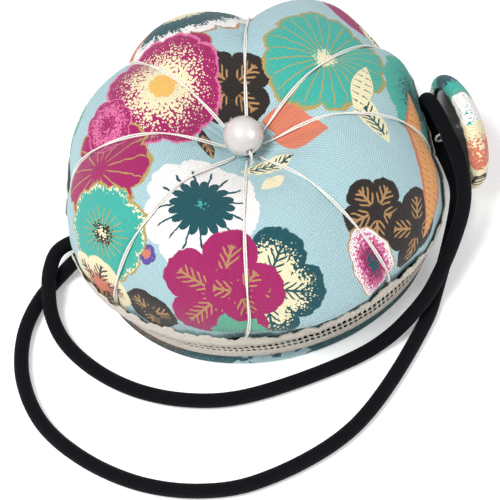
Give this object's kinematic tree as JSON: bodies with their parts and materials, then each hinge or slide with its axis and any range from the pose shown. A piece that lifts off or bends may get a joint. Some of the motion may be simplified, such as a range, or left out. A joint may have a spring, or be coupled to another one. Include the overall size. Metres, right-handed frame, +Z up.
{
  "type": "wrist pin cushion",
  "caption": "Stuffed sectioned cotton pin cushion on a covered disc with lace trim, a bead on top and an elastic loop hooked on a covered button",
  "frame": {"origin": "centre of the covered disc's flat underside", "axes": "+Z up through the cushion, +X from the centre towards the covered button"},
  "size_m": [0.1069, 0.0989, 0.0393],
  "materials": {
    "floral_cotton": "printed plain-weave cotton",
    "fibre": "polyester fibre filling",
    "white_thread": "twisted sewing thread",
    "pearl": "pearlescent coating",
    "lace": "beige cotton lace",
    "glue": "set hot glue",
    "board": "grey board",
    "base_cotton": "printed plain-weave cotton",
    "elastic": "black braided elastic",
    "steel": "tinned steel"
  },
  "bodies": {
    "cushion": {"floral_cover": "floral_cotton", "fibre_filling": "fibre", "gathering_thread": "white_thread", "core_thread": "white_thread", "section_thread_1": "white_thread", "section_thread_2": "white_thread", "section_thread_3": "white_thread", "section_thread_4": "white_thread", "section_thread_5": "white_thread", "section_thread_6": "white_thread", "section_thread_7": "white_thread", "section_thread_8": "white_thread", "pearl_stitch": "white_thread", "lace_trim": "lace", "glue_bed": "glue", "base_board": "board", "base_cover": "base_cotton", "elastic_loop": "elastic"},
    "pearl": {"pearl_bead": "pearl"},
    "stitch": {"button_stitch": "white_thread"},
    "button": {"button_wire_loop": "steel", "button_back_plate": "steel", "button_shell": "steel", "button_fabric": "floral_cotton"}
  },
  "joints": [
    {"name": "pearl_spin", "type": "hinge", "parent": "cushion", "child": "pearl", "pos_m": [-0.003, 0.001, 0.0353], "axis": [0, 1, 0], "continuous": true},
    {"name": "button_twist", "type": "hinge", "parent": "cushion", "child": "stitch", "pos_m": [0.0402, 0, 0.013], "axis": [1, 0, 0], "range_deg": [-40, 40], "stiffness_Nm_per_rad": 0.003},
    {"name": "button_nod", "type": "hinge", "parent": "stitch", "child": "button", "pos_m": [0.0402, 0, 0.013], "axis": [0, 1, 0], "range_deg": [-6, 6], "stiffness_Nm_per_rad": 0.006}
  ]
}
